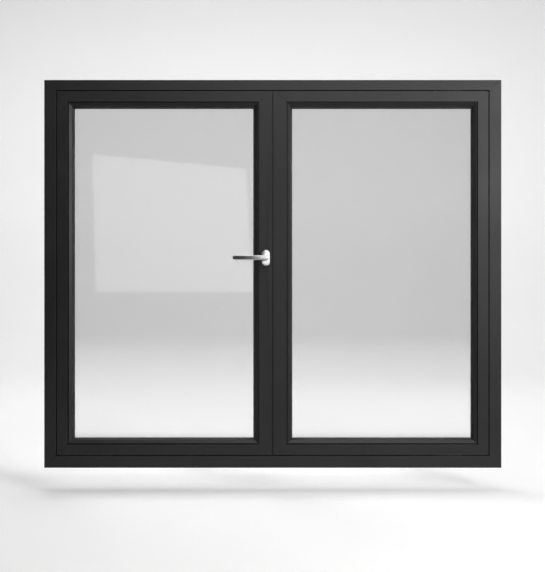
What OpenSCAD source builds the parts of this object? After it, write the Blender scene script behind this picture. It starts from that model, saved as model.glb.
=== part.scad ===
// Two-leaf casement window. The leaves open inwards on concealed slide-arm hinges.
// X is across, Z is up, -Y is the room side. Origin: centre of the sill's underside, at mid depth.

/* [Frame] */
// Width over the outer frame
frame_w = 1650; // [1100:10:2400]
// Height over the outer frame
frame_h = 1400; // [900:10:2200]
// Depth of the frame, room face to outdoor face
frame_d = 72; // [70:1:90]
// Visible width of the jambs
jamb_face = 43; // [40:1:70]
// Visible width of the sill
sill_face = 43; // [40:1:70]
// Visible width of the head
head_face = 37; // [34:1:70]
// Depth of the outdoor stop that the leaves close against
stop_t = 9; // [7:1:12]
// Reach of the outdoor stop into the opening
stop_reach = 20; // [18:1:24]
// Width of the fixed mullion behind the meeting stiles
mullion_w = 40; // [36:1:60]
// Wall thickness of the aluminium profiles
wall = 2; // [1.6:0.1:2.4]

/* [Leaves] */
// Depth of a leaf
leaf_d = 58; // [56:1:60]
// Visible gap between frame and leaf
edge_gap = 3; // [2.6:0.1:3.6]
// Visible gap between the two leaves
centre_gap = 2; // [2:0.5:4]
// Width of rail and hinge stile faces
rail_face = 38.5; // [36:0.5:55]
// Width of the meeting stile faces
meeting_face = 49; // [49:0.5:65]
// Air gap behind the flange, between profile bodies
air_gap = 12; // [12:0.5:14]
// Thickness of the room-side flange
flange_t = 8; // [5:0.5:9]
// Width of the glazing rebate, up to the edge of the visible glass
rebate_w = 21; // [19:0.5:26]
// Reach of the outdoor glazing lip, short so that it stays out of sight from the room
lip_w = 13; // [12:0.5:17]

/* [Glazing] */
// Room face of the leaf to the glass
glass_set = 24; // [22:0.5:26]
// Thickness of one pane
pane_t = 4; // [3:0.5:5]
// Cavity between the panes
cavity_t = 16; // [12:1:18]
// Clearance around the glass edge
glass_clear = 4; // [3:0.5:5]

/* [Hinges] */
// Length of one hinge arm between pivots
arm_r = 75; // [60:1:90]
// Jamb face to the shoe pivot of a closed leaf
pivot_in = 22; // [20:0.5:26]
// Room face to the hinge line
pivot_v = 20; // [19:0.5:21]
// Radius of the hinge pins
pin_r = 3; // [2.5:0.1:3.5]
// Width of the hinge arms
arm_w = 16; // [14:0.5:16]

/* [Handle and lock] */
// Height of the handle axis above the sill's underside
handle_z = 757; // [500:1:1000]
// Handle axis to the middle of the window
handle_in = 25; // [24:0.1:28]
// Handle axis to the tip of the lever
lever_l = 119; // [90:1:150]
// Height of the lever bar
lever_h = 16.5; // [13:0.5:18]
// Thickness of the lever bar
lever_t = 12; // [9:0.5:14]
// Room face to the front of the lever
lever_out = 50; // [42:1:60]
// Width of the handle plate
plate_w = 28; // [26:0.5:30]
// Height of the handle plate
plate_h = 57.5; // [56:0.5:70]
// Thickness of the handle plate
plate_t = 9; // [8:0.5:12]
// Spacing of the two handle screws
screw_pitch = 43; // [42:0.5:44]
// Module of the lock pinion and racks
gear_m = 1; // [0.9:0.01:1.05]
// Teeth on the lock pinion
teeth = 15; // [14:1:16]

/* [Fixing] */
// Radius of the wall fixing holes through the jambs
fix_r = 5.25; // [4:0.25:6]
// Height pitch of the wall fixing holes
fix_pitch = 360; // [200:10:500]

/* [Hidden] */
$fn = 48;

eps = 0.01;
run_fit = 0.05;
mitre_seam = 0.15;
room_y = -frame_d / 2;

// Opening rectangle of the frame, and the outline of one leaf (left leaf, x up to the middle).
open_x = frame_w / 2 - jamb_face;
open_z0 = sill_face;
open_z1 = frame_h - head_face;
leaf_x0 = -open_x + edge_gap;
leaf_x1 = -centre_gap / 2;
leaf_z0 = open_z0 + edge_gap;
leaf_z1 = open_z1 - edge_gap;
mid_z = (open_z0 + open_z1) / 2;

// Inner edge of the leaf faces, where the glazing rebate starts.
reb_x0 = leaf_x0 + rail_face;
reb_x1 = leaf_x1 - meeting_face;
reb_z0 = leaf_z0 + rail_face;
reb_z1 = leaf_z1 - rail_face;

// Body of a leaf behind its flange.
inset = air_gap - edge_gap;
meeting_inset = 6;
body_x0 = leaf_x0 + inset;
body_x1 = leaf_x1 - meeting_inset;
body_z0 = leaf_z0 + inset;
body_z1 = leaf_z1 - inset;

// Depth stations, measured from the room face.
glass_back = glass_set + 2 * pane_t + cavity_t;
leaf_shell_v = glass_set + 2;
leaf_outer_v = 42;
lip_t = 4;
frame_shell_v = 44;
frame_outer_v = 56;
stop_v = frame_d - stop_t;
strip_t = 2.5;
groove_d = 7;
groove_w = 18;
seal_bare = 1.8;

// Hinge layers, measured from the frame's opening face towards the leaf.
arm_top = 0.3;
arm_t = 2.3;
sash_arm_t = 3;
track_floor = groove_d - 0.2;
track_t = 1.5;
shoe_top = track_floor - track_t - 0.3;
shoe_low = 0.7;
shoe_l = 24;
track_in = 14;
pivot_x = -open_x + pivot_in;
joint_x = pivot_x + arm_r;
fixed_x = pivot_x + 2 * arm_r;

// Lock stations.
pitch_r = gear_m * teeth / 2;
rod_v = 12;
rod_w = 12;
rod_x0 = body_x1 + 0.6;
rod_x1 = body_x1 + 3.8;
rack_t = 6;
bolt_back = 5.5;
tab_z = 22;
tab_h = 8;
rack_half = 18;
rack_back = 2.4;
box_half = 49.5;
box_v0 = 3.2;
box_v1 = 22.8;
handle_x = -handle_in;
finger_gap_y = lever_out - lever_t;
screw_r = 2.4;

anthracite = [0.17, 0.17, 0.18];
rubber_black = [0.06, 0.06, 0.06];
steel = [0.72, 0.73, 0.75];
reach = 90;

// ---- Shared shapes ----

// Extrudes a (depth, inward) outline along X, with mitred ends at the corners of its rectangle.
module bar(length, over0, over1, seam = 0) {
  intersection() {
    translate([-length / 2 - over0, 0, 0])
      rotate([90, 0, 90]) linear_extrude(length + over0 + over1) children();
    translate([0, frame_d * 2, 0]) rotate([90, 0, 0]) linear_extrude(frame_d * 4)
      polygon([[-length / 2 - reach + seam, -reach], [length / 2 + reach - seam, -reach],
               [length / 2 - reach - seam, reach], [-length / 2 + reach + seam, reach]]);
  }
}

// Places a bar on one side of the rectangle x0..x1, z0..z1; overs are its neighbours' widths,
// and seam is the hairline left at each mitre.
module side_bar(side, x0, x1, z0, z1, over_lo, over_hi, seam = 0) {
  xc = (x0 + x1) / 2;
  zc = (z0 + z1) / 2;
  if (side == "bottom")
    translate([xc, room_y, z0]) bar(x1 - x0, over_lo, over_hi, seam) children();
  if (side == "top")
    translate([xc, room_y, z1]) mirror([0, 0, 1]) bar(x1 - x0, over_lo, over_hi, seam) children();
  if (side == "left")
    translate([x0, room_y, zc]) rotate([0, 90, 0]) bar(z1 - z0, over_hi, over_lo, seam) children();
  if (side == "right")
    translate([x1, room_y, zc]) rotate([0, -90, 0]) bar(z1 - z0, over_lo, over_hi, seam) children();
}

SIDES = ["bottom", "top", "left", "right"];

// A box between two corners, in x, depth from the room face, and z.
module box(x0, x1, v0, v1, z0, z1) {
  translate([x0, room_y + v0, z0]) cube([x1 - x0, v1 - v0, z1 - z0]);
}

// A round rod along the depth, from v0 to v1.
module depth_rod(x, z, v0, v1, r) {
  translate([x, room_y + v0, z]) rotate([-90, 0, 0]) cylinder(r = r, h = v1 - v0);
}

// An outline in the (depth, inward) plane between two corners.
module rect(v0, v1, t0, t1) {
  translate([v0, t0]) square([v1 - v0, t1 - t0]);
}

// Both mirror copies of a shape about the leaf's mid height.
module top_and_bottom() {
  children();
  translate([0, 0, 2 * mid_z]) mirror([0, 0, 1]) children();
}

// Left shapes become right shapes.
module on_right() {
  mirror([1, 0, 0]) children();
}

// ---- Fixed frame ----

// Room and outdoor shells of a frame member; face is its visible width.
module frame_outline(face) {
  difference() {
    rect(0, frame_shell_v, -face, 0);
    rect(pivot_v - groove_w / 2, pivot_v + groove_w / 2, -groove_d, eps);
    rect(wall, frame_shell_v - wall, wall - face, -groove_d - wall);
    rect(wall, pivot_v - groove_w / 2 - wall, -groove_d, -wall);
  }
  difference() {
    union() {
      rect(frame_outer_v, frame_d, -face, 0);
      rect(stop_v, frame_d, -face, stop_reach);
    }
    rect(frame_outer_v + wall, frame_d - wall, wall - face, -wall);
    rect(stop_v + wall, frame_d - wall, -wall - eps, stop_reach - wall);
  }
}

module frame_bar(side, face, over_lo, over_hi) {
  side_bar(side, -open_x, open_x, open_z0, open_z1, over_lo, over_hi) frame_outline(face);
}

// Slots through the sill's outdoor face that drain the rebate; cap_t is the depth they also clear.
weep_l = 30;
weep_h = 6;
weep_z = 10;
weep_rim = 3;
cap_t = 2.5;

module weep_slots() {
  for (s = [-1, 1])
    box(s * frame_w / 4 - weep_l / 2, s * frame_w / 4 + weep_l / 2, frame_d - wall - 1,
        frame_d + cap_t + 1, weep_z, weep_z + weep_h);
}

module frame_sill() color(anthracite) difference() {
  frame_bar("bottom", sill_face, jamb_face, jamb_face);
  weep_slots();
}

module frame_head() color(anthracite) frame_bar("top", head_face, jamb_face, jamb_face);

// Wall fixing holes, through the hinge groove of a jamb.
module fixing_holes() {
  for (k = [-1.5, -0.5, 0.5, 1.5])
    translate([-frame_w / 2 - 1, room_y + pivot_v, mid_z + k * fix_pitch])
      rotate([0, 90, 0]) cylinder(r = fix_r, h = jamb_face + 2);
}

module frame_left_jamb() color(anthracite) difference() {
  frame_bar("left", jamb_face, sill_face, head_face);
  fixing_holes();
}

module frame_right_jamb() color(anthracite) on_right() difference() {
  frame_bar("left", jamb_face, sill_face, head_face);
  fixing_holes();
}

// Hollow post between the stops of sill and head, which both leaves close against.
module frame_mullion() color(anthracite) difference() {
  box(-mullion_w / 2, mullion_w / 2, stop_v, frame_d, open_z0 + stop_reach, open_z1 - stop_reach);
  box(wall - mullion_w / 2, mullion_w / 2 - wall, stop_v + wall, frame_d - wall,
      open_z0 + stop_reach - 1, open_z1 - stop_reach + 1);
}

module strip_pair(v0, v1, t_low, t_high) {
  rect(v0, v1, t_low, t_low + strip_t);
  rect(v0, v1, t_high - strip_t, t_high);
}

module frame_thermal_strips() color(rubber_black) {
  frame_strips("bottom", sill_face);
  frame_strips("top", head_face);
  frame_strips("left", jamb_face);
  frame_strips("right", jamb_face);
}

module frame_strips(side, face) {
  side_bar(side, -open_x, open_x, open_z0, open_z1, 0, 0)
    strip_pair(frame_shell_v, frame_outer_v, wall - face, -wall);
}

// L-shaped cleat in the chambers of one corner, for a corner at x, z with outward directions.
module cleat(x, z, sx, sz, near, out_x, out_z, leg, v0, v1) {
  translate([x, room_y + v1, z]) scale_dir(sx, sz) rotate([90, 0, 0]) linear_extrude(v1 - v0)
    difference() {
      translate([-leg, -leg]) square([leg + out_x, leg + out_z]);
      translate([-leg - 1, -leg - 1]) square([leg + 1 + near, leg + 1 + near]);
    }
}

// Mirrors by the sign of each direction.
module scale_dir(sx, sz) {
  mirror([sx < 0 ? 1 : 0, 0, 0]) mirror([0, 0, sz < 0 ? 1 : 0]) children();
}

cleat_leg = 45;
cleat_gap = 0.5;

module frame_corner_cleats() color("silver") {
  near = groove_d + wall + cleat_gap;
  for (sx = [-1, 1]) {
    cleat(sx * open_x, open_z1, sx, 1, near, jamb_face - wall - cleat_gap,
          head_face - wall - cleat_gap, cleat_leg, 4, frame_shell_v - 4);
    cleat(sx * open_x, open_z0, sx, -1, near, jamb_face - wall - cleat_gap,
          sill_face - wall - cleat_gap, cleat_leg, 4, frame_shell_v - 4);
  }
}

gasket_t = stop_v - leaf_d - seal_bare;

// Gasket lengths on the stop and on the mullion, which the leaves' outdoor faces meet.
gasket_in = 0.8;
gasket_edge = 0.5;

module frame_gasket() color(rubber_black) {
  for (s = SIDES)
    side_bar(s, -open_x, open_x, open_z0, open_z1, 0, 0, mitre_seam)
      rect(stop_v - gasket_t, stop_v, air_gap + gasket_in, stop_reach - gasket_edge);
  for (flip = [0, 1]) mirror([flip, 0, 0])
    box(gasket_edge - mullion_w / 2, body_x1 - gasket_in, stop_v - gasket_t, stop_v,
        open_z0 + stop_reach, open_z1 - stop_reach);
}

// One hinge track at the head: channel in the groove, with the fixed arm's pin.
module hinge_track() {
  side_w = (groove_w - 0.4 - track_in) / 2;
  x0 = -open_x + 6;
  x1 = fixed_x + 25;
  y0 = pivot_v - track_in / 2 - side_w;
  y1 = pivot_v + track_in / 2 + side_w;
  difference() {
    box(x0, x1, y0, y1, open_z1 + 0.4, open_z1 + track_floor);
    box(x0 - 1, x1 + 1, pivot_v - track_in / 2, pivot_v + track_in / 2,
        open_z1 - 1, open_z1 + track_floor - track_t);
  }
  translate([fixed_x, room_y + pivot_v, open_z1 - arm_top - arm_t + 0.2])
    cylinder(r = pin_r, h = arm_top + arm_t + track_floor - track_t);
}

module hinge_tracks() color(steel) top_and_bottom() {
  hinge_track();
  on_right() hinge_track();
}

// One keep at the head: a block in the groove with a slot for the bolt.
keep_side = 14;
keep_gap = 0.5;

module bolt_keep() {
  difference() {
    box(rod_x0 - keep_side, rod_x1 + 2.2, pivot_v - groove_w / 2 + 0.1, pivot_v + groove_w / 2 - 0.1,
        open_z1 + 0.4, open_z1 + groove_d);
    box(rod_x0 - keep_gap, rod_x1 + keep_gap, rod_v - keep_gap, rod_v + rod_w + keep_gap,
        open_z1, open_z1 + groove_d + 1);
  }
}

module bolt_keeps() color(steel) top_and_bottom() {
  bolt_keep();
  on_right() bolt_keep();
}

module weep_caps() color(rubber_black) difference() {
  for (s = [-1, 1])
    box(s * frame_w / 4 - weep_l / 2 - weep_rim, s * frame_w / 4 + weep_l / 2 + weep_rim,
        frame_d, frame_d + cap_t, weep_z - weep_rim, weep_z + weep_h + weep_rim);
  weep_slots();
}

// ---- Leaves: every module draws the left leaf's piece ----

// Shells of a leaf member; face is its visible width and edge the step behind its flange.
module leaf_outline(face, edge) {
  difference() {
    union() {
      rect(0, flange_t, -face, 0);
      rect(0, leaf_shell_v, edge - face, 0);
    }
    rect(wall, leaf_shell_v - wall, edge - face + wall, -wall);
  }
  difference() {
    union() {
      rect(leaf_outer_v, leaf_d, edge - face, 0);
      rect(leaf_d - lip_t, leaf_d, edge - face, lip_w);
    }
    rect(leaf_outer_v + wall, leaf_d - wall, edge - face + wall, -wall);
  }
}

// Room a leaf may fill: the flange plate, and the body behind it.
module leaf_envelope() {
  box(leaf_x0, leaf_x1, 0, flange_t, leaf_z0, leaf_z1);
  box(body_x0, body_x1, 0, leaf_d, body_z0, body_z1);
}

module leaf_bar(side) {
  wide = side == "right";
  intersection() {
    side_bar(side, reb_x0, reb_x1, reb_z0, reb_z1, rail_face, wide ? rail_face : meeting_face)
      leaf_outline(wide ? meeting_face : rail_face, wide ? meeting_inset : inset);
    leaf_envelope();
  }
}

module bottom_rail() color(anthracite) leaf_bar("bottom");

module top_rail() color(anthracite) leaf_bar("top");

module hinge_stile() color(anthracite) leaf_bar("left");

// The meeting stile has a pocket for the gearbox, open at the edge.
module meeting_stile() color(anthracite) difference() {
  leaf_bar("right");
  box(body_x1 - wall - 1, body_x1 + 1, box_v0 - 0.2, box_v1 + 0.2,
      handle_z - box_half - 0.2, handle_z + box_half + 0.2);
}

// The handle's leaf is also drilled for the spindle and the two handle screws.
module handle_stile() color(anthracite) difference() {
  meeting_stile();
  depth_rod(handle_x, handle_z, -1, wall + 1, 6);
  for (s = [-1, 1])
    depth_rod(handle_x, handle_z + s * screw_pitch / 2, -1, wall + 1, screw_r + 0.3);
}

module thermal_strips() color(rubber_black) for (s = SIDES) {
  wide = s == "right";
  side_bar(s, reb_x0, reb_x1, reb_z0, reb_z1, 0, 0)
    strip_pair(leaf_shell_v, leaf_outer_v,
               (wide ? meeting_inset - meeting_face : inset - rail_face) + wall, -wall);
}

module corner_cleats() color("silver") {
  near = wall + cleat_gap;
  out_rail = rail_face - inset - wall - cleat_gap;
  out_meeting = meeting_face - meeting_inset - wall - cleat_gap;
  for (sz = [-1, 1]) {
    z = sz > 0 ? reb_z1 : reb_z0;
    cleat(reb_x0, z, -1, sz, near, out_rail, out_rail, cleat_leg, 4, leaf_shell_v - 4);
    cleat(reb_x1, z, 1, sz, near, out_meeting, out_rail, cleat_leg, 4, leaf_shell_v - 4);
  }
}

// A plate of glass with a given distance to the rebate, between two depths.
module pane(edge, v0, v1) {
  box(reb_x0 + edge, reb_x1 - edge, v0, v1, reb_z0 + edge, reb_z1 - edge);
}

module inner_pane() color([0.75, 0.8, 0.82, 0.4]) pane(glass_clear, glass_set, glass_set + pane_t);

module outer_pane() color([0.75, 0.8, 0.82, 0.4]) pane(glass_clear, glass_back - pane_t, glass_back);

module glazing_ring(v0, v1, t0, t1) for (s = SIDES)
  side_bar(s, reb_x0, reb_x1, reb_z0, reb_z1, 0, 0) rect(v0, v1, t0, t1);

seal_w = 4;
spacer_w = 6.5;

module spacer_bar() color(steel)
  glazing_ring(glass_set + pane_t, glass_back - pane_t,
               glass_clear + seal_w, glass_clear + seal_w + spacer_w);

module edge_seal() color(rubber_black)
  glazing_ring(glass_set + pane_t, glass_back - pane_t, glass_clear, glass_clear + seal_w);

// Bead: shadow groove, front edge, slope, then a steep drop to the gasket.
bead_back = 20;
bead_w = rebate_w - 4;
bead_groove = 9;
bead_groove_w = 3.6;

module bead_outline() difference() {
  polygon([[bead_groove, 0], [bead_groove, bead_groove_w], [1, bead_groove_w],
           [1, bead_groove_w + 1], [7.5, bead_w - 2.5], [12, bead_w],
           [bead_back, bead_w], [bead_back, 0]]);
  polygon([[bead_groove + 2, wall], [bead_groove + 2, bead_groove_w + 3], [13, bead_w - wall],
           [bead_back - 2, bead_w - wall], [bead_back - 2, wall]]);
}

module beads() color(anthracite) for (s = SIDES)
  side_bar(s, reb_x0, reb_x1, reb_z0, reb_z1, 0, 0, mitre_seam) bead_outline();

module glazing_gaskets() color(rubber_black) for (s = SIDES)
  side_bar(s, reb_x0, reb_x1, reb_z0, reb_z1, 0, 0) {
    polygon([[bead_back, 9], [bead_back, bead_w], [15, bead_w], [15, bead_w + 1],
             [glass_set, rebate_w], [glass_set, 9]]);
    rect(glass_back, leaf_d - lip_t, glass_clear + 2, lip_w);
  }

// Plastic blocks that carry the glass at its quarter points.
block_l = 100;

module setting_blocks() color("dimgray") for (q = [0.25, 0.75]) {
  x = reb_x0 + q * (reb_x1 - reb_x0);
  box(x - block_l / 2, x + block_l / 2, glass_set, glass_back, reb_z0, reb_z0 + glass_clear);
}

// Soft bulb at the outdoor side of the meeting edge.
bulb_t = 4.2;

module meeting_seal() color(rubber_black)
  box(body_x1, body_x1 + bulb_t, leaf_outer_v + 2, leaf_d - 2, body_z0, body_z1);

// Arm on the leaf's top edge: shoe pin at one end and arm pin half way.
module sash_arm() {
  z0 = open_z1 - air_gap;
  top = z0 + sash_arm_t;
  box(pivot_x - 8, joint_x + 60, pivot_v - arm_w / 2, pivot_v + arm_w / 2, z0, top);
  for (x = [pivot_x, joint_x])
    translate([x, room_y + pivot_v, top]) cylinder(r = pin_r * 2, h = open_z1 - arm_top - arm_t - 0.4 - top);
  translate([joint_x, room_y + pivot_v, z0]) cylinder(r = pin_r, h = air_gap - 0.5);
  translate([pivot_x, room_y + pivot_v, z0]) cylinder(r = pin_r, h = air_gap + shoe_top - 0.2);
}

module sash_arms() color(steel) top_and_bottom() sash_arm();

// Arm that swings about the pin of the fixed track.
module support_arm() {
  difference() {
    translate([0, room_y + pivot_v, open_z1 - arm_top - arm_t]) union() {
      translate([joint_x, -arm_w / 2, 0]) cube([arm_r, arm_w, arm_t]);
      for (x = [joint_x, fixed_x])
        translate([x, 0, 0]) cylinder(r = arm_w / 2, h = arm_t);
    }
    for (x = [joint_x, fixed_x])
      translate([x, room_y + pivot_v, open_z1 - 5]) cylinder(r = pin_r + run_fit, h = 6);
  }
}

module support_arms() color(steel) top_and_bottom() support_arm();

module hinge_shoe() {
  difference() {
    box(pivot_x - shoe_l / 2, pivot_x + shoe_l / 2, pivot_v - track_in / 2 + 0.3,
        pivot_v + track_in / 2 - 0.3, open_z1 + shoe_low, open_z1 + shoe_top);
    translate([pivot_x, room_y + pivot_v, open_z1]) cylinder(r = pin_r + run_fit, h = groove_d);
  }
}

module hinge_shoes() color("gainsboro") top_and_bottom() hinge_shoe();

// ---- Lock ----

box_x0 = handle_x - (body_x1 - handle_x);

collar_r = 5.55;
box_wall = 1.5;

module gearbox(drilled) color(steel) difference() {
  box(box_x0, body_x1, box_v0, box_v1, handle_z - box_half, handle_z + box_half);
  box(box_x0 + box_wall, body_x1 + 1, rod_v - 0.5, rod_v + rack_t + 0.5,
      handle_z - box_half + box_wall, handle_z + box_half - box_wall);
  depth_rod(handle_x, handle_z, box_v0 - 1, rod_v, collar_r + run_fit);
  if (drilled) for (s = [-1, 1])
    depth_rod(handle_x, handle_z + s * screw_pitch / 2, box_v0 - 1, rod_v - 2, screw_r + 0.1);
}

// Clips that hold a rod to the meeting edge, near its ends and near the gearbox.
clip_h = 20;
clip_t = 1.7;
clip_gap = 0.3;
clip_end = 60;
clip_box = 150;

module rod_guides() color("dimgray")
  for (z = [body_z0 + clip_end, handle_z - clip_box, handle_z + clip_box, body_z1 - clip_end])
    difference() {
      box(body_x1, rod_x1 + 1.2, rod_v - clip_gap - clip_t, rod_v + rod_w + clip_gap + clip_t,
          z - clip_h / 2, z + clip_h / 2);
      box(body_x1 + 0.25, rod_x1 + clip_gap, rod_v - clip_gap, rod_v + rod_w + clip_gap,
          z - clip_h, z + clip_h);
    }

// Half the angle that a tooth covers at a radius, for an involute tooth with a little backlash.
press = 20;
base_r = pitch_r * cos(press);
backlash = 0.12;
tooth_half = 90 / teeth - (backlash / pitch_r) * 90 / PI;
function inv(a) = tan(a) * 180 / PI - a;
function half_at(r) = tooth_half + inv(press) - inv(acos(min(1, base_r / r)));
tip_r = pitch_r + gear_m;
root_r = pitch_r - 1.25 * gear_m;
flank = [for (k = [0:4]) base_r + 0.02 + k * (tip_r - base_r - 0.02) / 4];

module pinion_outline() union() {
  circle(r = root_r);
  for (k = [0:teeth - 1]) rotate((k + 0.5) * 360 / teeth) polygon(concat(
    [[root_r - 1, -sin(half_at(base_r)) * root_r], [root_r - 1, sin(half_at(base_r)) * root_r]],
    [for (r = flank) [r * cos(half_at(r)), r * sin(half_at(r))]],
    [for (k2 = [4:-1:0]) [flank[k2] * cos(half_at(flank[k2])), -flank[k2] * sin(half_at(flank[k2]))]]));
}

spindle_w = 7;
spindle_fit = 0.05;
spindle_front = 27.5;

// The pinion has a square hole for the spindle and a round collar in the gearbox.
module pinion() color("silver") translate([handle_x, room_y + rod_v, handle_z]) rotate([90, 0, 0])
  difference() {
    union() {
      translate([0, 0, -rack_t]) linear_extrude(rack_t) pinion_outline();
      cylinder(r = collar_r, h = rod_v - box_v0 - 1);
    }
    translate([0, 0, rod_v / 2 - rack_t])
      cube([spindle_w + 2 * spindle_fit, spindle_w + 2 * spindle_fit, 2 * rod_v], center = true);
  }

pitch = PI * gear_m;

// Straight-sided rack: pitch line at x = 0, teeth towards +x, first tooth centred on y = shift.
module rack_outline(first, last, shift) {
  half = pitch / 4 - backlash / 2;
  for (k = [first:last]) translate([0, k * pitch + shift]) polygon([
    [-1.25 * gear_m - eps, -half - 1.25 * gear_m * tan(press)],
    [gear_m * 0.95, -half + gear_m * 0.95 * tan(press)],
    [gear_m * 0.95, half - gear_m * 0.95 * tan(press)],
    [-1.25 * gear_m - eps, half + 1.25 * gear_m * tan(press)]]);
}

// A rod in the meeting edge with its rack; up = 1 for the upper rod, -1 for the lower one.
module lock_rod(up) {
  rack_x = handle_x + up * pitch_r;
  back_x0 = up > 0 ? rack_x + 1.25 * gear_m : rack_x - 1.25 * gear_m - rack_back;
  back_x1 = back_x0 + rack_back;
  tip = up > 0 ? open_z1 - bolt_back : open_z0 + bolt_back;
  shift = pitch_shift(up);
  near = handle_z + up * tab_z;
  far = handle_z + up * (tab_z + tab_h);
  box(back_x0, rod_x1, rod_v, rod_v + rack_t, min(near, far), max(near, far));
  box(rod_x0, rod_x1, rod_v, rod_v + rod_w, min(near, tip), max(near, tip));
  box(back_x0, back_x1, rod_v, rod_v + rack_t,
      up > 0 ? handle_z - rack_half : near - eps, up > 0 ? near + eps : handle_z + rack_half);
  translate([rack_x, room_y + rod_v + rack_t, handle_z]) rotate([90, 0, 0])
    linear_extrude(rack_t) mirror([up > 0 ? 1 : 0, 0]) rack_outline(-5, 4, shift);
}

// Rack teeth sit in the pinion's gaps: right side at angle 0, left side at 180 degrees.
function pitch_shift(up) = up > 0 ? 0 : (teeth % 2 == 0 ? 0 : pitch / 2);

module upper_rod() color(steel) lock_rod(1);

module lower_rod() color(steel) lock_rod(-1);

// ---- Handle ----

module stadium(w, h) {
  square([w, h - w], center = true);
  for (s = [-1, 1]) translate([0, s * (h - w) / 2]) circle(r = w / 2);
}

module handle_plate(w, h, v0, v1) translate([handle_x, room_y + v1, handle_z])
  rotate([90, 0, 0]) linear_extrude(v1 - v0) stadium(w, h);

neck_r = 8;
cover_t = 1.5;

module handle_base() color("silver") difference() {
  handle_plate(plate_w - 2 * cover_t - 0.4, plate_h - 2 * cover_t - 0.4, -plate_t + cover_t + 0.3, 0);
  depth_rod(handle_x, handle_z, -plate_t, 1, neck_r + run_fit);
  for (s = [-1, 1]) {
    depth_rod(handle_x, handle_z + s * screw_pitch / 2, -plate_t, 1, screw_r + 0.1);
    depth_rod(handle_x, handle_z + s * screw_pitch / 2, -plate_t, -3, 5);
  }
}

module handle_cover() color("silver") difference() {
  handle_plate(plate_w, plate_h, -plate_t, 0);
  handle_plate(plate_w - 2 * cover_t, plate_h - 2 * cover_t, -plate_t + cover_t, 1);
  depth_rod(handle_x, handle_z, -plate_t - 1, 0, neck_r + 0.3);
}

module handle_screws() color(steel) for (s = [-1, 1]) {
  z = handle_z + s * screw_pitch / 2;
  depth_rod(handle_x, z, -3, rod_v - 2.5, screw_r);
  depth_rod(handle_x, z, -5.8, -3, 4.4);
}

module handle_lever() color("silver") difference() {
  union() {
    depth_rod(handle_x, handle_z, -lever_out, -0.4, neck_r);
    box(handle_x - lever_l + lever_h / 2, handle_x, -lever_out, -finger_gap_y,
        handle_z - lever_h / 2, handle_z + lever_h / 2);
    depth_rod(handle_x - lever_l + lever_h / 2, handle_z, -lever_out, -finger_gap_y, lever_h / 2);
    depth_rod(handle_x, handle_z, -lever_out, -finger_gap_y, lever_h / 2);
  }
  box(handle_x - spindle_w / 2 - spindle_fit, handle_x + spindle_w / 2 + spindle_fit,
      -spindle_front - 0.5, 1,
      handle_z - spindle_w / 2 - spindle_fit, handle_z + spindle_w / 2 + spindle_fit);
}

module handle_spindle() color(steel)
  box(handle_x - spindle_w / 2, handle_x + spindle_w / 2, -spindle_front, rod_v + rack_t - 0.5,
      handle_z - spindle_w / 2, handle_z + spindle_w / 2);

// ---- Drawing ----

frame_sill();
frame_head();
frame_left_jamb();
frame_right_jamb();
frame_mullion();
frame_thermal_strips();
frame_corner_cleats();
frame_gasket();
hinge_tracks();
bolt_keeps();
weep_caps();

bottom_rail();  // left_bottom_rail
top_rail();  // left_top_rail
hinge_stile();  // left_hinge_stile
handle_stile();  // left_meeting_stile
thermal_strips();  // left_thermal_strips
corner_cleats();  // left_corner_cleats
inner_pane();  // left_inner_pane
outer_pane();  // left_outer_pane
spacer_bar();  // left_spacer_bar
edge_seal();  // left_edge_seal
beads();  // left_beads
glazing_gaskets();  // left_glazing_gaskets
setting_blocks();  // left_setting_blocks
meeting_seal();  // left_meeting_seal
sash_arms();  // left_sash_arms
gearbox(true);  // left_gearbox
rod_guides();  // left_rod_guides
support_arms();  // left_support_arms
hinge_shoes();  // left_hinge_shoes
handle_base();
handle_cover();
handle_screws();
handle_lever();
handle_spindle();
pinion();  // left_pinion
upper_rod();  // left_upper_rod
lower_rod();  // left_lower_rod

on_right() bottom_rail();  // right_bottom_rail
on_right() top_rail();  // right_top_rail
on_right() hinge_stile();  // right_hinge_stile
on_right() meeting_stile();  // right_meeting_stile
on_right() thermal_strips();  // right_thermal_strips
on_right() corner_cleats();  // right_corner_cleats
on_right() inner_pane();  // right_inner_pane
on_right() outer_pane();  // right_outer_pane
on_right() spacer_bar();  // right_spacer_bar
on_right() edge_seal();  // right_edge_seal
on_right() beads();  // right_beads
on_right() glazing_gaskets();  // right_glazing_gaskets
on_right() setting_blocks();  // right_setting_blocks
on_right() meeting_seal();  // right_meeting_seal
on_right() sash_arms();  // right_sash_arms
on_right() gearbox(false);  // right_gearbox
on_right() rod_guides();  // right_rod_guides
on_right() support_arms();  // right_support_arms
on_right() hinge_shoes();  // right_hinge_shoes
on_right() pinion();  // right_pinion
on_right() upper_rod();  // right_upper_rod
on_right() lower_rod();  // right_lower_rod
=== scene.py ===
from math import cos, pi, radians, sin

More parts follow.
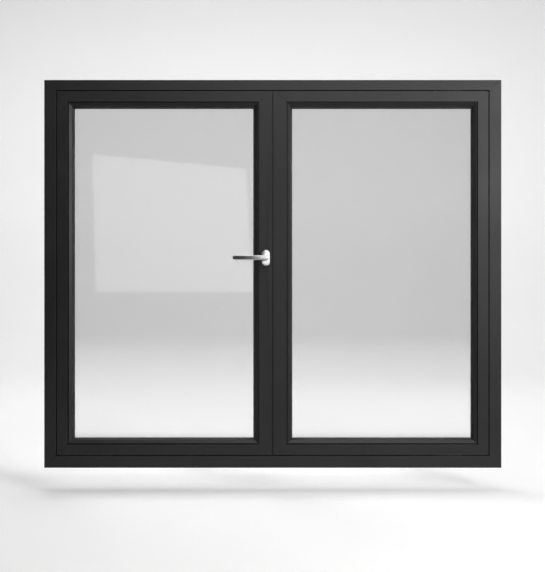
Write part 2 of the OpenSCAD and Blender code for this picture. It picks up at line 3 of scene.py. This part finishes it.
import bmesh
import bpy
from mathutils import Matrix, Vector


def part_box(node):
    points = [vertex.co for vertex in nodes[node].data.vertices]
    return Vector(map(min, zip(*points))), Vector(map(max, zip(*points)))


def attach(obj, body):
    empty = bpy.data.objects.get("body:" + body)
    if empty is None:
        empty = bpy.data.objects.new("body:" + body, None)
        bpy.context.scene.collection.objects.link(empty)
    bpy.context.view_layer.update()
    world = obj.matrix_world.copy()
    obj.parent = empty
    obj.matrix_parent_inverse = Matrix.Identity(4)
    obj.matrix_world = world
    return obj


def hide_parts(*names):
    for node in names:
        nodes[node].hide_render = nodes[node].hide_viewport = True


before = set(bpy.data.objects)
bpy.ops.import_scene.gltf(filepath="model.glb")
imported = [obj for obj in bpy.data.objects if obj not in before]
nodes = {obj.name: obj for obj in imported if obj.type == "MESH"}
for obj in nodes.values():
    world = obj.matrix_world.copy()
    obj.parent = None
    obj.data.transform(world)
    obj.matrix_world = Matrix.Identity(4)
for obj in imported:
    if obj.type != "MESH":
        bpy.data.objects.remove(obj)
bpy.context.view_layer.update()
bpy.ops.object.select_all(action="DESELECT")

# ---- Camera ----
# Straight on and level, a little below the window's middle, at the distance where the glass
# set 24 mm behind the room face shows the right amount of its beads.
sill_low, sill_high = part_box("frame_sill")
head_low, head_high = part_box("frame_head")
room_face = sill_low.y
window_mid = (sill_low.z + head_high.z) / 2
camera_away = 2.86
camera_side = -0.001
camera_drop = 0.0437
view_width = 1.967
sensor = 36.0
camera_data = bpy.data.cameras.new("studio_camera")
camera_data.sensor_fit = "HORIZONTAL"
camera_data.sensor_width = sensor
camera_data.lens = sensor * camera_away / view_width
camera = bpy.data.objects.new("studio_camera", camera_data)
camera.location = (camera_side, room_face - camera_away, window_mid - camera_drop)
camera.rotation_euler = (radians(90), 0, 0)
bpy.context.scene.collection.objects.link(camera)
bpy.context.scene.camera = camera


# ---- Powder-coated aluminium profiles ----
# Sill, head, jambs, rails, stiles and beads are extruded aluminium, sawn to 45 degrees at the
# corners and baked with a satin anthracite powder coat that has a fine orange-peel skin.
def new_material(name, colour, metallic, roughness):
    """A material with its shader, an Object coordinate node, and plain values on the sockets."""
    made = bpy.data.materials.new(name)
    made.use_nodes = True
    tree = made.node_tree
    shader = tree.nodes["Principled BSDF"]
    shader.inputs["Base Color"].default_value = (*colour, 1)
    shader.inputs["Metallic"].default_value = metallic
    shader.inputs["Roughness"].default_value = roughness
    place = tree.nodes.new("ShaderNodeTexCoord")
    return made, tree, shader, place


def noise(tree, place, scale, detail, stretch=(1, 1, 1)):
    """Noise on Object coordinates, pulled along an axis by a small factor in stretch."""
    turn = tree.nodes.new("ShaderNodeMapping")
    turn.inputs["Scale"].default_value = stretch
    grain = tree.nodes.new("ShaderNodeTexNoise")
    grain.inputs["Scale"].default_value = scale
    grain.inputs["Detail"].default_value = detail
    tree.links.new(place.outputs["Object"], turn.inputs["Vector"])
    tree.links.new(turn.outputs["Vector"], grain.inputs["Vector"])
    return grain


# Most of the noise lies between these two values.
grain_low = 0.3
grain_high = 0.7


def vary(tree, grain, shader, low, high):
    """Drives the roughness with the noise, between low and high."""
    span = tree.nodes.new("ShaderNodeMapRange")
    span.inputs["From Min"].default_value = grain_low
    span.inputs["From Max"].default_value = grain_high
    span.inputs["To Min"].default_value = low
    span.inputs["To Max"].default_value = high
    tree.links.new(grain.outputs["Fac"], span.inputs["Value"])
    tree.links.new(span.outputs["Result"], shader.inputs["Roughness"])


def tint(tree, grain, shader, dark, light):
    """Drives the colour with the noise, between two colours."""
    ramp = tree.nodes.new("ShaderNodeValToRGB")
    ramp.color_ramp.elements[0].position = grain_low
    ramp.color_ramp.elements[0].color = (*dark, 1)
    ramp.color_ramp.elements[1].position = grain_high
    ramp.color_ramp.elements[1].color = (*light, 1)
    tree.links.new(grain.outputs["Fac"], ramp.inputs["Fac"])
    tree.links.new(ramp.outputs["Color"], shader.inputs["Base Color"])


def bump(tree, grain, shader, strength, depth):
    """Raises the surface by the noise."""
    relief = tree.nodes.new("ShaderNodeBump")
    relief.inputs["Strength"].default_value = strength
    relief.inputs["Distance"].default_value = depth
    tree.links.new(grain.outputs["Fac"], relief.inputs["Height"])
    tree.links.new(relief.outputs["Normal"], shader.inputs["Normal"])


powder_coat, tree, shader, place = new_material(
    "powder_coat", colour=(0.008, 0.008, 0.0085), metallic=0, roughness=0.5)
shader.inputs["Specular IOR Level"].default_value = 0.28
shader.inputs["Coat Weight"].default_value = 0.03
shader.inputs["Coat Roughness"].default_value = 0.3
peel = noise(tree, place, scale=900, detail=2)
mottle = noise(tree, place, scale=7, detail=3)
bump(tree, peel, shader, strength=0.12, depth=0.00008)
vary(tree, mottle, shader, low=0.46, high=0.54)
tint(tree, mottle, shader, dark=(0.0065, 0.0065, 0.007), light=(0.0085, 0.0085, 0.009))


weld_reach = 0.00001
sharp_angle = 35


def finish_node(name, material):
    """Gives a CAD node its material in every slot."""
    mesh = nodes[name].data
    mesh.materials.clear()
    mesh.materials.append(material)


def soften(name, width):
    """Rounds a CAD node's sharp edges with live modifiers, and leaves its mesh alone."""
    weld = nodes[name].modifiers.new("weld", "WELD")
    weld.merge_threshold = weld_reach
    rounding = nodes[name].modifiers.new("edge_radius", "BEVEL")
    rounding.width = width
    rounding.segments = 2
    rounding.limit_method = "ANGLE"
    rounding.angle_limit = radians(sharp_angle)
    rounding.use_clamp_overlap = True


profile_radius = 0.0006
bead_radius = 0.0003
for part in ("frame_sill", "frame_head", "frame_left_jamb", "frame_right_jamb", "frame_mullion"):
    finish_node(part, powder_coat)
    soften(part, profile_radius)
for hand in ("left", "right"):
    for part in ("bottom_rail", "top_rail", "hinge_stile", "meeting_stile"):
        finish_node(f"{hand}_{part}", powder_coat)
        soften(f"{hand}_{part}", profile_radius)
    finish_node(f"{hand}_beads", powder_coat)
    soften(f"{hand}_beads", bead_radius)


# ---- Rubber ----
# Gaskets, bulb seals and the sealant round the glass are black EPDM with a dusty matt skin.
rubber, tree, shader, place = new_material(
    "black_rubber", colour=(0.006, 0.006, 0.006), metallic=0, roughness=0.62)
dust = noise(tree, place, scale=260, detail=4)
vary(tree, dust, shader, low=0.52, high=0.72)
tint(tree, dust, shader, dark=(0.005, 0.005, 0.005), light=(0.011, 0.011, 0.0105))
bump(tree, dust, shader, strength=0.2, depth=0.0001)
finish_node("frame_gasket", rubber)
for hand in ("left", "right"):
    for part in ("glazing_gaskets", "meeting_seal", "edge_seal"):
        finish_node(f"{hand}_{part}", rubber)

# ---- Nylon ----
# Thermal break strips, rod guides, setting blocks and weep caps are black glass-filled nylon,
# moulded or extruded, with short pale fibres near the surface.
nylon, tree, shader, place = new_material(
    "glass_filled_nylon", colour=(0.016, 0.016, 0.016), metallic=0, roughness=0.5)
fibres = noise(tree, place, scale=500, detail=3, stretch=(1, 1, 0.12))
tint(tree, fibres, shader, dark=(0.012, 0.012, 0.012), light=(0.026, 0.026, 0.025))
vary(tree, fibres, shader, low=0.42, high=0.58)
bump(tree, fibres, shader, strength=0.15, depth=0.00006)
for part in ("frame_thermal_strips", "weep_caps"):
    finish_node(part, nylon)
for hand in ("left", "right"):
    for part in ("thermal_strips", "rod_guides", "setting_blocks"):
        finish_node(f"{hand}_{part}", nylon)

# ---- Mill aluminium ----
# Corner cleats are sawn from an extruded angle, and the spacer is a rolled hollow strip.
# Both are bare aluminium with drawing lines.
mill_aluminium, tree, shader, place = new_material(
    "mill_aluminium", colour=(0.6, 0.6, 0.61), metallic=1, roughness=0.38)
lines = noise(tree, place, scale=700, detail=2, stretch=(1, 1, 0.02))
vary(tree, lines, shader, low=0.3, high=0.46)
tint(tree, lines, shader, dark=(0.54, 0.54, 0.55), light=(0.66, 0.66, 0.67))
bump(tree, lines, shader, strength=0.1, depth=0.00004)
finish_node("frame_corner_cleats", mill_aluminium)
for hand in ("left", "right"):
    for part in ("corner_cleats", "spacer_bar"):
        finish_node(f"{hand}_{part}", mill_aluminium)

# ---- Zinc-plated steel ----
# Hinge tracks, arms and shoes, keeps, gearboxes, pinions, bolts, spindle and screws are
# pressed or sintered steel with a pale passivated zinc plate.
zinc_steel, tree, shader, place = new_material(
    "zinc_plated_steel", colour=(0.55, 0.56, 0.58), metallic=1, roughness=0.33)
spangle = noise(tree, place, scale=120, detail=5)
vary(tree, spangle, shader, low=0.26, high=0.42)
tint(tree, spangle, shader, dark=(0.48, 0.49, 0.51), light=(0.62, 0.63, 0.64))
bump(tree, spangle, shader, strength=0.08, depth=0.00005)
steel_parts = ["hinge_tracks", "bolt_keeps", "handle_screws", "handle_spindle"]
for hand in ("left", "right"):
    for part in ("sash_arms", "gearbox", "support_arms", "hinge_shoes", "pinion",
                 "upper_rod", "lower_rod"):
        steel_parts.append(f"{hand}_{part}")
for part in steel_parts:
    finish_node(part, zinc_steel)

# ---- Glass ----
# Each leaf holds two 4 mm float panes. Float glass is flat to the eye, with a faint neutral
# grey body and a very slow waviness from the float bath. The panes cast no shadow.
float_glass, tree, shader, place = new_material(
    "float_glass", colour=(0.825, 0.825, 0.825), metallic=0, roughness=0.0)
shader.inputs["Transmission Weight"].default_value = 1.0
shader.inputs["IOR"].default_value = 1.52
shader.inputs["Specular IOR Level"].default_value = 1.0
bath_wave = noise(tree, place, scale=1.6, detail=1)
bump(tree, bath_wave, shader, strength=0.02, depth=0.0004)
for hand in ("left", "right"):
    for part in ("inner_pane", "outer_pane"):
        finish_node(f"{hand}_{part}", float_glass)
        nodes[f"{hand}_{part}"].visible_shadow = False

# ---- Handle ----
# The lever, its neck and the cover of its plate are die-cast zinc with a satin chrome plate,
# brushed along the lever. The neck turns in the base that the cover snaps over.
satin_chrome, tree, shader, place = new_material(
    "satin_chrome", colour=(0.8, 0.8, 0.8), metallic=1, roughness=0.2)
brushing = noise(tree, place, scale=1400, detail=2, stretch=(0.03, 1, 1))
vary(tree, brushing, shader, low=0.16, high=0.25)
tint(tree, brushing, shader, dark=(0.77, 0.77, 0.77), light=(0.83, 0.83, 0.83))
bump(tree, brushing, shader, strength=0.06, depth=0.00003)
touch = 1e-6
arc_steps = 20
round_steps = 64
smooth_angle = 40


def pick(piece):
    """Selects one piece alone and makes it active."""
    bpy.ops.object.select_all(action="DESELECT")
    piece.select_set(True)
    bpy.context.view_layer.objects.active = piece


def apply_all(piece):
    """Applies every modifier on a piece, and its transform."""
    pick(piece)
    for step in list(piece.modifiers):
        bpy.ops.object.modifier_apply(modifier=step.name)
    bpy.ops.object.transform_apply(location=True, rotation=True, scale=True)


def add_bevel(piece, width, segments, angle=sharp_angle):
    """Rounds a new piece's sharp edges."""
    rounding = piece.modifiers.new("rounding", "BEVEL")
    rounding.width = width
    rounding.segments = segments
    rounding.limit_method = "ANGLE"
    rounding.angle_limit = radians(angle)


def combine(piece, other, operation, solver):
    """Joins another piece to a piece, or cuts it away, and removes the other."""
    step = piece.modifiers.new("combine", "BOOLEAN")
    step.operation = operation
    step.solver = solver
    step.object = other
    apply_all(piece)
    bpy.data.objects.remove(other)


def dress(piece, name, material, body):
    """Names a finished piece, gives it its finish and hangs it on its body."""
    piece.name = name
    piece.data.name = name
    piece.data.materials.clear()
    piece.data.materials.append(material)
    pick(piece)
    bpy.ops.object.shade_smooth_by_angle(angle=radians(smooth_angle))
    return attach(piece, body)


def arc(centre_x, centre_z, radius, start, end):
    """Points on an arc in the plate's plane, from one angle to another in degrees."""
    turns = [radians(start + (end - start) * k / arc_steps) for k in range(arc_steps + 1)]
    return [(centre_x + radius * cos(turn), centre_z + radius * sin(turn)) for turn in turns]


def blank_piece():
    """A new object whose mesh is written over afterwards."""
    bpy.ops.object.select_all(action="DESELECT")
    bpy.ops.mesh.primitive_plane_add(size=0.001)
    return bpy.context.object


def pressed_block(points, back, front):
    """A block pulled forwards from an outline in the wall's plane."""
    block = blank_piece()
    pressing = bmesh.new()
    rim = [pressing.verts.new((x, back, z)) for x, z in points]
    raised = bmesh.ops.extrude_face_region(pressing, geom=[pressing.faces.new(rim)])
    for item in raised["geom"]:
        if isinstance(item, bmesh.types.BMVert):
            item.co.y = front
    bmesh.ops.remove_doubles(pressing, verts=pressing.verts[:], dist=touch)
    bmesh.ops.recalc_face_normals(pressing, faces=pressing.faces[:])
    pressing.to_mesh(block.data)
    pressing.free()
    return block


lever_low, lever_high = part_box("handle_lever")
plate_low, plate_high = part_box("handle_cover")
axis_x = (plate_low.x + plate_high.x) / 2
axis_z = (plate_low.z + plate_high.z) / 2
bar_height = lever_high.z - lever_low.z
bar_depth = 0.012
bar_mid_y = lever_low.y + bar_depth / 2
neck_radius = 0.008

# The lever bar: half-round ends and softly rounded edges. From the neck it curves back towards
# the leaf and thins a little, so its tip stands behind the rest.
lever_length = lever_high.x - lever_low.x
lever_round = bar_height / 2
lever_edge = 0.0028
lever_edge_steps = 6
curve_back = 0.006
curve_thin = 0.003
slices = 23
lever_outline = arc(lever_high.x - lever_round, axis_z, lever_round, -90, 90)
lever_outline += arc(lever_low.x + lever_round, axis_z, lever_round, 90, 270)
lever = pressed_block(lever_outline, bar_mid_y + bar_depth / 2, lever_low.y)
add_bevel(lever, lever_edge, lever_edge_steps)
apply_all(lever)
bending = bmesh.new()
bending.from_mesh(lever.data)
for cut in range(1, slices):
    bmesh.ops.bisect_plane(bending, geom=bending.verts[:] + bending.edges[:] + bending.faces[:],
                           dist=touch, plane_co=(lever_low.x + lever_length * cut / slices, 0, 0),
                           plane_no=(1, 0, 0))
bmesh.ops.triangulate(bending, faces=bending.faces[:])
for corner in bending.verts:
    along = max(0, (axis_x - neck_radius - corner.co.x) / (axis_x - neck_radius - lever_low.x))
    behind = (corner.co.y - lever_low.y) / bar_depth
    corner.co.y += (curve_back - curve_thin * behind) * along ** 2
bending.to_mesh(lever.data)
bending.free()

# The neck is spun from a profile that flares out where it meets the bar, and starts inside it.
neck_edge = 0.0006
neck_sink = 0.6
flare = 0.0045
flare_spread = 0.11
flare_steps = 8
weld_gap = 3e-6
neck_back = lever_high.y
neck_front = lever_low.y + bar_depth * neck_sink
bar_back = lever_low.y + bar_depth
profile = [(0, neck_back), (neck_radius - neck_edge, neck_back),
           (neck_radius, neck_back - neck_edge), (neck_radius, bar_back + flare)]
for step in range(1, flare_steps + 1):
    bend = step / flare_steps
    profile.append((neck_radius + flare * flare_spread * bend ** 2, bar_back + flare * (1 - bend)))
profile += [(neck_radius, neck_front), (0, neck_front)]
neck = blank_piece()
outline = bmesh.new()
corners = [outline.verts.new((r, y, 0)) for r, y in profile]
for one, two in zip(corners, corners[1:]):
    outline.edges.new((one, two))
bmesh.ops.spin(outline, geom=outline.verts[:] + outline.edges[:], cent=(0, 0, 0), axis=(0, 1, 0),
               angle=2 * pi, steps=round_steps, use_duplicate=False)
bmesh.ops.remove_doubles(outline, verts=outline.verts[:], dist=touch)
bmesh.ops.recalc_face_normals(outline, faces=outline.faces[:])
outline.to_mesh(neck.data)
outline.free()
neck.location = (axis_x, 0, axis_z)
apply_all(neck)
combine(lever, neck, "UNION", "MANIFOLD")
cleaning = bmesh.new()
cleaning.from_mesh(lever.data)
bmesh.ops.remove_doubles(cleaning, verts=cleaning.verts[:], dist=weld_gap)
bmesh.ops.dissolve_degenerate(cleaning, edges=cleaning.edges[:], dist=touch)
bmesh.ops.triangulate(cleaning, faces=cleaning.faces[:])
cleaning.to_mesh(lever.data)
cleaning.free()
dress(lever, "lever", satin_chrome, "handle")
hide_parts("handle_lever")

# The plate cover: an upright capsule, and a shoulder under the lever whose corners are filleted
# into the capsule's side. The fillets start 0.4 mm past the end of the capsule's straight, and
# that fold in the outline holds the rim's rounding down to a few thousandths of a millimetre.
plate_round = (plate_high.x - plate_low.x) / 2
plate_straight = (plate_high.z - plate_low.z) / 2 - plate_round
shoulder_inset = 0.0006
shoulder_half = bar_height / 2 - shoulder_inset
fillet = 0.0075
cover_edge = 0.0022
cover_edge_steps = 5
cover_edge_angle = 50
neck_play = 0.0003
bore_depth = 0.04
cover_outline = arc(0, plate_straight, plate_round, 0, 180)
cover_outline += arc(-plate_round - fillet, shoulder_half + fillet, fillet, 0, -90)
cover_outline += arc(-plate_round - fillet, -shoulder_half - fillet, fillet, 90, 0)
cover_outline += arc(0, -plate_straight, plate_round, 180, 360)
cover = pressed_block([(axis_x + x, axis_z + z) for x, z in cover_outline],
                      plate_high.y, plate_low.y)
add_bevel(cover, cover_edge, cover_edge_steps, cover_edge_angle)
apply_all(cover)
bpy.ops.object.select_all(action="DESELECT")
bpy.ops.mesh.primitive_cylinder_add(vertices=round_steps, radius=neck_radius + neck_play,
                                    depth=bore_depth, location=(axis_x, plate_low.y, axis_z),
                                    rotation=(radians(90), 0, 0))
combine(cover, bpy.context.object, "DIFFERENCE", "EXACT")
dress(cover, "plate_cover", satin_chrome, "left_leaf")
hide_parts("handle_cover")
finish_node("handle_base", satin_chrome)

# ---- Studio ----
# A pale sweep of paper runs under the window and up behind it, inside a plain grey wall. Soft
# lamps stand above, behind, at the right and in front, and some light only some pieces. Two
# glowing cards, on the floor in front and far back at the left, are mirrored by the panes alone.
floor_drop = 0.09
sweep_back = 5.0
sweep_curve = 1.6
sweep_steps = 16
sweep_half = 12.0
sweep_top = 6.0
sweep_front = -6.5
floor_z = sill_low.z - floor_drop


def stage_mesh(name, points, faces):
    """A piece of the studio, from its own points and faces."""
    mesh = bpy.data.meshes.new(name)
    mesh.from_pydata(points, [], faces)
    made = bpy.data.objects.new(name, mesh)
    bpy.context.scene.collection.objects.link(made)
    return made


def self_lit(shader, specular, strength):
    """Gives a studio surface a low shine and a plain white glow of its own."""
    shader.inputs["Specular IOR Level"].default_value = specular
    shader.inputs["Emission Color"].default_value = (1, 1, 1, 1)
    shader.inputs["Emission Strength"].default_value = strength


line = [(sweep_front, floor_z), (sweep_back - sweep_curve, floor_z)]
for step in range(1, sweep_steps + 1):
    turn = radians(90) * step / sweep_steps
    line.append((sweep_back - sweep_curve + sweep_curve * sin(turn),
                 floor_z + sweep_curve * (1 - cos(turn))))
line.append((sweep_back, sweep_top))
points = [(side * sweep_half, y, z) for y, z in line for side in (-1, 1)]
faces = [(2 * k, 2 * k + 1, 2 * k + 3, 2 * k + 2) for k in range(len(line) - 1)]
sweep = stage_mesh("studio_sweep", points, faces)
for polygon in sweep.data.polygons:
    polygon.use_smooth = True
paper, tree, shader, place = new_material(
    "studio_paper", colour=(0.9, 0.9, 0.9), metallic=0, roughness=0.9)
self_lit(shader, 0.1, 0.14)
fleck = noise(tree, place, scale=3, detail=2)
tint(tree, fleck, shader, dark=(0.89, 0.89, 0.89), light=(0.91, 0.91, 0.91))
sweep.data.materials.append(paper)

# All round stands a plain grey wall that lights nothing, for the views from the sides and back.
wall_radius = 16
wall_height = 14
wall_lift = 6.99
wall_facets = 96
bpy.ops.object.select_all(action="DESELECT")
bpy.ops.mesh.primitive_cylinder_add(vertices=wall_facets, radius=wall_radius, depth=wall_height,
                                    end_fill_type="NGON", location=(0, 0, floor_z + wall_lift))
surround = bpy.context.object
surround.name = "studio_surround"
grey, tree, shader, place = new_material(
    "studio_grey", colour=(0.0, 0.0, 0.0), metallic=0, roughness=1.0)
self_lit(shader, 0, 0.4)
surround.data.materials.append(grey)
surround.visible_glossy = False
surround.visible_diffuse = False
surround.visible_shadow = False

# The pieces that a card or a lamp can be limited to: the panes, the other CAD nodes, and the
# lever with its cover.
panes = bpy.data.collections.new("mirroring_panes")
metalwork = bpy.data.collections.new("card_lit_metal")
for name, node in nodes.items():
    (panes if name.endswith("_pane") else metalwork).objects.link(node)
grip = bpy.data.collections.new("card_lit_handle")
for piece in (lever, cover):
    grip.objects.link(piece)
card_cells = 40
card_z = floor_z + 0.01
floor_corners = ((-2.4, -0.9, card_z), (2.4, -0.9, card_z), (7.5, -10, card_z), (-7.5, -10, card_z))
pane_corners = ((-1.53, -3.9, 0.59), (-0.15, -3.9, 0.59), (-0.21, -3.9, 1.67), (-1.56, -3.9, 1.80))


def soft_step(value):
    """0 to 1 with a soft start and end."""
    value = min(1, max(0, value))
    return value * value * (3 - 2 * value)


def glow_card(name, corners, strength, soft_u, soft_v):
    """A glowing card for the panes to mirror, whose glow fades over soft_u and soft_v."""
    low_left, low_right, high_right, high_left = [Vector(c) for c in corners]
    grid, glow = [], []
    for j in range(card_cells + 1):
        for i in range(card_cells + 1):
            u, v = i / card_cells, j / card_cells
            bottom = low_left.lerp(low_right, u)
            grid.append(bottom.lerp(high_left.lerp(high_right, u), v))
            glow.append(soft_step(min(u, 1 - u) / soft_u) * soft_step(v / soft_v[0])
                        * soft_step((1 - v) / soft_v[1]))
    row = card_cells + 1
    quads = [(j * row + i, j * row + i + 1, (j + 1) * row + i + 1, (j + 1) * row + i)
             for j in range(card_cells) for i in range(card_cells)]
    card = stage_mesh(name, grid, quads)
    shade = card.data.attributes.new("glow", "FLOAT", "POINT")
    shade.data.foreach_set("value", glow)
    made = bpy.data.materials.new(name)
    made.use_nodes = True
    nodes_in = made.node_tree.nodes
    nodes_in.clear()
    out = nodes_in.new("ShaderNodeOutputMaterial")
    lit = nodes_in.new("ShaderNodeEmission")
    level = nodes_in.new("ShaderNodeAttribute")
    level.attribute_name = "glow"
    gain = nodes_in.new("ShaderNodeMath")
    gain.operation = "MULTIPLY"
    gain.inputs[1].default_value = strength
    made.node_tree.links.new(level.outputs["Fac"], gain.inputs[0])
    made.node_tree.links.new(gain.outputs["Value"], lit.inputs["Strength"])
    made.node_tree.links.new(lit.outputs["Emission"], out.inputs["Surface"])
    card.data.materials.append(made)
    card.visible_camera = False
    card.visible_transmission = False
    card.visible_diffuse = False
    card.visible_shadow = False
    card.light_linking.receiver_collection = panes


glow_card("floor_card", floor_corners, strength=5.4, soft_u=0.3, soft_v=(0.03, 1.0))
glow_card("pane_card", pane_corners, strength=2.4, soft_u=0.03, soft_v=(0.03, 0.03))


def soft_light(name, size, power, location, target, only=None):
    """A rectangular lamp that looks at a target, and lights only one collection if given."""
    lamp = bpy.data.lights.new(name, "AREA")
    lamp.shape = "RECTANGLE"
    lamp.size, lamp.size_y = size
    lamp.energy = power
    holder = bpy.data.objects.new(name, lamp)
    holder.location = location
    holder.rotation_euler = (Vector(target) - Vector(location)).to_track_quat("-Z", "Y").to_euler()
    bpy.context.scene.collection.objects.link(holder)
    if only is not None:
        holder.light_linking.receiver_collection = only


soft_light("key_light", size=(1.0, 1.2), power=62, location=(1.95, -2.3, 1.55),
           target=(0, 0, 0.75))
soft_light("hood_light", size=(1.6, 0.6), power=42, location=(0.3, -2.6, 2.9),
           target=(0.1, 0, 1.2), only=metalwork)
soft_light("low_light", size=(2.4, 1.4), power=15, location=(0.6, -2.5, floor_z + 0.1),
           target=(0.4, 0, 0.3), only=metalwork)
soft_light("stile_light", size=(1.0, 1.5), power=8.5, location=(0.35, -3.9, 1.25),
           target=(0.35, 0, 1.25), only=metalwork)
soft_light("handle_light", size=(1.0, 1.5), power=7.2, location=(0.33, -3.9, 1.25),
           target=(0.33, 0, 1.25), only=grip)
soft_light("top_light", size=(4.0, 1.0), power=52, location=(-0.05, -0.15, 3.3),
           target=(0.1, -0.05, 0))
soft_light("wall_light", size=(9.0, 1.0), power=98, location=(0.2, 1.6, 3.1),
           target=(0.3, 5.0, 0.5))
world = bpy.data.worlds.new("studio_air")
bpy.context.scene.world = world
world.use_nodes = True
air = world.node_tree.nodes["Background"].inputs
air["Color"].default_value = (0.9, 0.9, 0.9, 1)
air["Strength"].default_value = 0.16
bpy.context.scene.view_settings.view_transform = "Standard"
